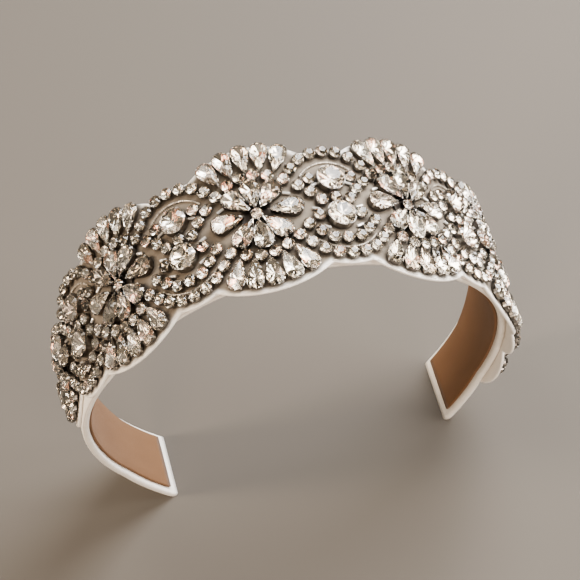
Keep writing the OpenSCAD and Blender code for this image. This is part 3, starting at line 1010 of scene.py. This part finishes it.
heart_cut, heart_foil = stone_shapes("heart", round_outline(12, 1.9 * mm), centre, (0.84, 1.62),
                                     (1.0, 1.80), (0.56, 2.9), (0.80, 2.42), (0.45, 0.98, 0.64), 0.52)
heart_claw = claw_shape("heart_claw", (
    (2.0, 0.9), (2.04, 1.75), (1.88, 2.08), (1.56, 2.44)), 0.44, 0.14)
heart_seats = turned_seats([(f * pitch, 0.0) for f in FLOWERS], 41)
hearts = copies("flower_hearts", heart_seats, heart_cut, crystal, 41)
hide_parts("flower_centres")
copies("heart_foils", heart_seats, heart_foil, small_back, 41)
copies("heart_claws", claw_seats(heart_seats, 4), heart_claw, claw_metal, 41)

# Fans. Five pear-cut stones in their own cups stand side by side at each edge
# of the four inner flowers, round end outwards.
fan_belly = 0.42 * mm
fan_middle = Vector((1.3 * mm, 0.0))
fan_shapes = stone_shapes("fan", pear_girdle(fan_a, fan_d, 1.05, fan_belly, 16), fan_middle,
                          (0.88, 1.54), (1.0, 1.72), (0.54, 3.2), (0.79, 2.62), (0.68, 1.08, 0.55), 0.42)
fan_cup = metal_cup("fan_cup", pear_outline(fan_a, fan_d, fan_belly, 16), fan_middle, (
    (0.84, 0.10), (0.95, 0.6), (0.98, 1.56), (0.94, 1.58), (0.92, 0.9), (0.80, 0.34)))
fan_claw = claw_shape("fan_claw", (
    (0.0, 0.5), (0.18, 1.66), (0.04, 2.0), (-0.20, 2.24), (-0.48, 2.58)), 0.56, 0.15)
for side, word in ((1, "upper"), (-1, "lower")):
    seats = [(u, v, 0.0, 0.0, 0.0, turn) for u, v, turn in fan_places[side]]
    set_stones("fan_" + word, seats, fan_shapes, large_back, 50 + side, ["fans_" + word])
    copies("fan_" + word + "_cups", seats, fan_cup, cup_metal, 50 + side)
    claws = pear_claws(seats, fan_a, fan_d, fan_belly, 0.45, 40.0)
    copies("fan_" + word + "_claws", claws, fan_claw, claw_metal, 50 + side)

# Seed beads and bugle beads. Two arcs of fine tan seed beads are sewn round each
# link, and short silver-lined bugle beads fill the corners between the stones.
bead_sides, seed_wide, seed_long = 8, 0.68 * mm, 0.56 * mm
seed_bead = lying_bar("seed_bead", seed_long, seed_wide, seed_wide, bead_sides,
                      ((-0.5, 0.45), (-0.34, 0.92), (0.0, 1.0), (0.34, 0.92), (0.5, 0.45)))


def bead_paint(dark, light):
    """The look of glass beads, each a little different, with near-white patches painted in: painted
    reflections of the bright bore.
    """
    def paint(bench):
        painted_glint = bench.grain(bench.place(), 1800.0)
        shade = bench.mix(bench.stored("copy"), dark, light)
        # Near-white patches are mixed into each bead: painted reflections.
        return {"Base Color": bench.mix(painted_glint * 0.4, shade, (0.96, 0.94, 0.90)),
                "Roughness": 0.12 + painted_glint * 0.2}
    return paint


bead_glass = {"Metallic": 0.45, "Coat Weight": 1.0, "Coat Roughness": 0.03}
silver_bead = finish_of("silver_lined_bead", bead_glass, bead_paint((0.62, 0.58, 0.52), (0.97, 0.95, 0.92)))
tan_bead = finish_of("tan_bead", bead_glass, bead_paint((0.16, 0.11, 0.07), (0.80, 0.70, 0.56)))
bead_half_angle, bead_stations, bead_spacing, bead_lift = 50.0, 40, 0.66 * mm, 0.02 * mm
bead_lines = []
for l in LINKS:
    for side, radius in ((1, 11.3 * mm), (-1, 12.45 * mm)):
        line = []
        for j in range(bead_stations + 1):
            a = math.radians(bead_half_angle * (2 * j / bead_stations - 1))
            u = l * pitch + radius * math.sin(a)
            line.append((laid(u, side * (arc_shift + radius * math.cos(a)), z=bead_lift), up_at(u)))
        bead_lines.append(line)
seed_beads = grown("seed_beads", line_carrier(bead_lines), line_bench, {
    LINE["Shape"]: seed_bead, LINE["Spacing"]: bead_spacing, LINE["Finish"]: tan_bead, LINE["Seed"]: 61})

bugle_long, bugle_wide, bugle_lift = 2.3 * mm, 0.95 * mm, 0.03 * mm
bugle = lying_bar("bugle", bugle_long, bugle_wide, bugle_wide, bead_sides,
                  ((-0.5, 0.5), (-0.5, 0.92), (-0.44, 1.0), (0.44, 1.0), (0.5, 0.92), (0.5, 0.5)))
# columns: place in a link, turn
BUGLES = ((6.8, -1.6, 20.0), (5.4, 6.9, -20.0), (5.2, -8.4, 20.0), (14.1, 5.3, 20.0))
bugle_seats = [(l * pitch + sx * x * mm, y * mm, 0.0, 0.0, bugle_lift, sx * turn)
               for l in LINKS for sx in (-1, 1) for x, y, turn in BUGLES]
copies("bugle_beads", bugle_seats, bugle, silver_bead, 62)

# The shapes that were copied aren't part of the object.
for shape in SHAPES:
    bpy.data.objects.remove(shape)
